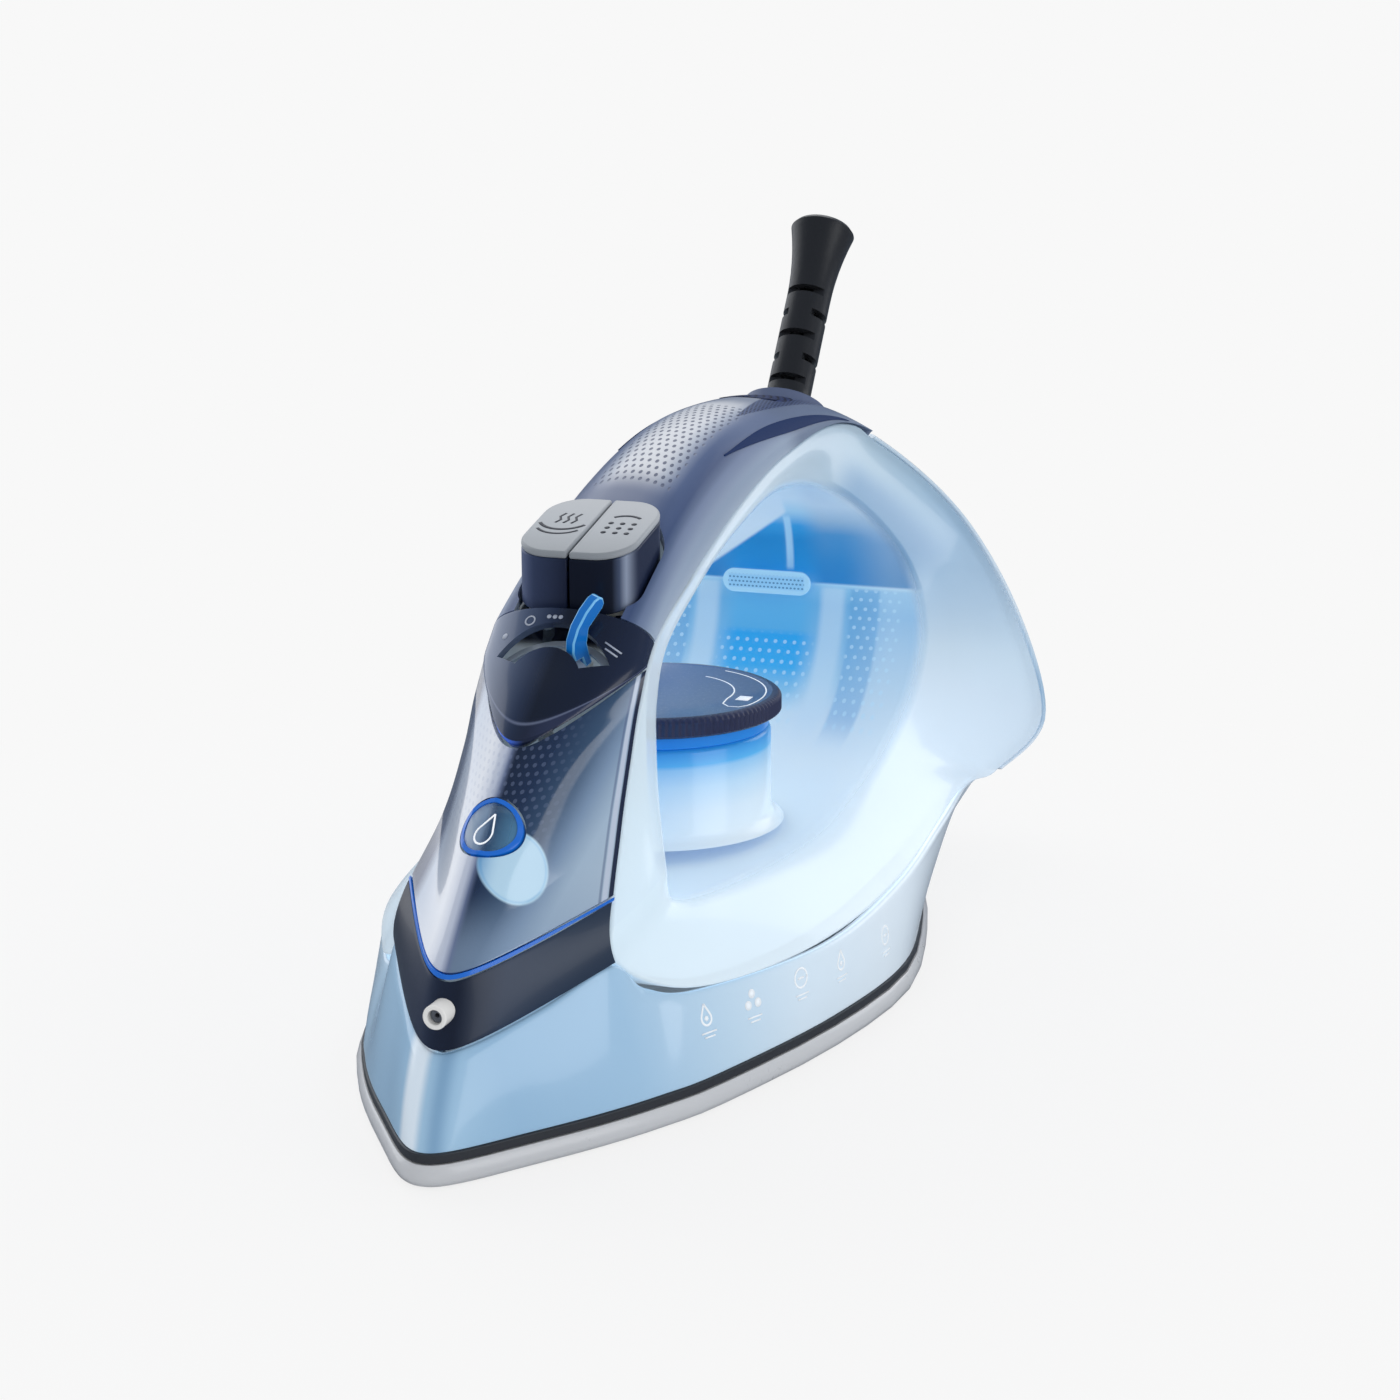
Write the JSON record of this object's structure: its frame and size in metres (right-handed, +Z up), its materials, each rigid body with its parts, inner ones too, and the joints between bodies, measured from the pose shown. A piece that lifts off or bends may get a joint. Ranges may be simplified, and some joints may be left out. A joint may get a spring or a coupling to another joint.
{
  "type": "clothes iron",
  "caption": "Steam iron with a pointed soleplate, clear loop body round the hand opening, dial, push buttons, steam lever, fill cap and a tilting cord guard.",
  "frame": {"origin": "centre of the soleplate's ironing face, midway between its tip and its heel", "axes": "+X towards the tip, +Y towards the iron's left side, +Z up from the ironing face"},
  "size_m": [0.2851, 0.1172, 0.1656],
  "materials": {
    "ceramic_soleplate": "smooth light grey ceramic coat",
    "heater_steel": "dull heater tube",
    "lid_steel": "plain pressed sheet",
    "shield_grey": "dark grey heat-proof plastic",
    "screw_steel": "plated screws",
    "thermostat_metal": "pressed thermostat body",
    "fuse_sleeve": "woven fuse sleeve",
    "brass_seat": "turned brass",
    "pale_blue_gloss": "glossy pale blue housing",
    "clear_blue": "frosted see-through blue tank plastic",
    "bright_blue": "bright blue see-through trim",
    "dial_navy": "satin navy dial",
    "spindle_steel": "turned spindle",
    "cover_ice": "pale see-through rear cover",
    "handle_navy": "navy handle with a pearl sheen on top",
    "inlay_blue": "deep blue inserts",
    "grip_dark": "dark grid-pattern grip",
    "panel_navy": "dark navy panel",
    "nozzle_navy": "navy nozzle housing",
    "nozzle_white": "white nozzle",
    "jet_grey": "grey jet insert",
    "window_tint": "navy-tinted see-through window",
    "cap_clear": "clear fill cap",
    "button_navy": "navy button sides",
    "button_silver": "silver button caps",
    "pump_white": "moulded pump parts",
    "spring_steel": "spring wire",
    "lever_blue": "blue see-through lever",
    "disc_silver": "silver lever disc",
    "seal_rubber": "black rubber",
    "lens_blue": "pale blue indicator lens",
    "lamp_amber": "small amber lamp",
    "turret_black": "black swivel",
    "guard_rubber": "black rubber cord guard",
    "clamp_ivory": "moulded clamp and terminal block",
    "hose_silicone": "clear silicone hose",
    "lead_red": "insulated leads"
  },
  "bodies": {
    "iron_body": {"soleplate": "ceramic_soleplate", "heating_element": "heater_steel", "steam_chamber_lid": "lid_steel", "heat_shield": "shield_grey", "soleplate_screws": "screw_steel", "thermostat_body": "thermostat_metal", "thermal_fuse": "fuse_sleeve", "steam_valve_seat": "brass_seat", "lower_housing": "pale_blue_gloss", "water_tank": "clear_blue", "handle_underside": "clear_blue", "rear_housing": "clear_blue", "dial_collar": "bright_blue", "rear_cover": "cover_ice", "rear_cover_screws": "screw_steel", "handle_shell": "handle_navy", "grip_inlay_left": "inlay_blue", "grip_inlay_right": "inlay_blue", "rear_grip_patch": "grip_dark", "control_panel": "panel_navy", "nozzle_housing": "nozzle_navy", "spray_nozzle": "nozzle_white", "nozzle_jet": "jet_grey", "window_gasket": "bright_blue", "front_window": "window_tint", "fill_funnel": "clear_blue", "steam_pump_cylinder": "pump_white", "steam_pump_spring": "spring_steel", "spray_pump_cylinder": "pump_white", "spray_pump_spring": "spring_steel", "lever_track": "disc_silver", "valve_rod_seal": "seal_rubber", "indicator_lens": "lens_blue", "indicator_lamp": "lamp_amber", "cord_clamp": "clamp_ivory", "terminal_block": "clamp_ivory", "spray_hose": "hose_silicone", "burst_hose": "hose_silicone", "mains_leads": "lead_red"},
    "temperature_dial": {"temperature_dial": "dial_navy", "dial_spindle": "spindle_steel"},
    "steam_lever": {"steam_lever": "lever_blue", "lever_cam": "pump_white"},
    "valve_rod": {"valve_rod": "pump_white"},
    "steam_button": {"steam_button": "button_navy", "steam_button_cap": "button_silver", "steam_piston": "pump_white"},
    "spray_button": {"spray_button": "button_navy", "spray_button_cap": "button_silver", "spray_piston": "pump_white"},
    "fill_cap": {"fill_cap": "cap_clear", "fill_cap_seal": "bright_blue"},
    "swivel_turret": {"swivel_turret": "turret_black"},
    "cord_guard": {"cord_guard": "guard_rubber"}
  },
  "joints": [
    {"name": "dial_turn", "type": "hinge", "parent": "iron_body", "child": "temperature_dial", "pos_m": [-0.016, 0, 0.0636], "axis": [0, 0, 1], "range_deg": [0, 240]},
    {"name": "steam_lever_turn", "type": "hinge", "parent": "iron_body", "child": "steam_lever", "pos_m": [0.0505, 0, 0.0842], "axis": [0.6, 0, 0.8], "range_deg": [-24, 78]},
    {"name": "valve_rod_lift", "type": "slide", "parent": "iron_body", "child": "valve_rod", "axis": [0, 0, -1], "range_m": [-0.00053, 0.00175]},
    {"name": "steam_button_press", "type": "slide", "parent": "iron_body", "child": "steam_button", "axis": [0, 0, -1], "range_m": [0, 0.0035], "stiffness_N_per_m": 900, "springref_m": -0.0015, "deforming": ["steam_pump_spring"]},
    {"name": "spray_button_press", "type": "slide", "parent": "iron_body", "child": "spray_button", "axis": [0, 0, -1], "range_m": [0, 0.0035], "stiffness_N_per_m": 900, "springref_m": -0.0015, "deforming": ["spray_pump_spring"]},
    {"name": "fill_cap_open", "type": "hinge", "parent": "iron_body", "child": "fill_cap", "pos_m": [0.08433, 0, 0.05618], "axis": [0, 1, 0], "range_deg": [0, 105]},
    {"name": "cord_swivel", "type": "hinge", "parent": "iron_body", "child": "swivel_turret", "pos_m": [-0.1105, 0, 0.1186], "axis": [-0.596, 0, 0.803], "continuous": true},
    {"name": "cord_guard_tilt", "type": "hinge", "parent": "swivel_turret", "child": "cord_guard", "pos_m": [-0.10633, 0, 0.11298], "axis": [0, 1, 0], "range_deg": [-20, 20]}
  ],
  "couplings": [
    {"joint": "steam_lever_turn", "follows": "valve_rod_lift", "rad_per_m": 778.69}
  ]
}
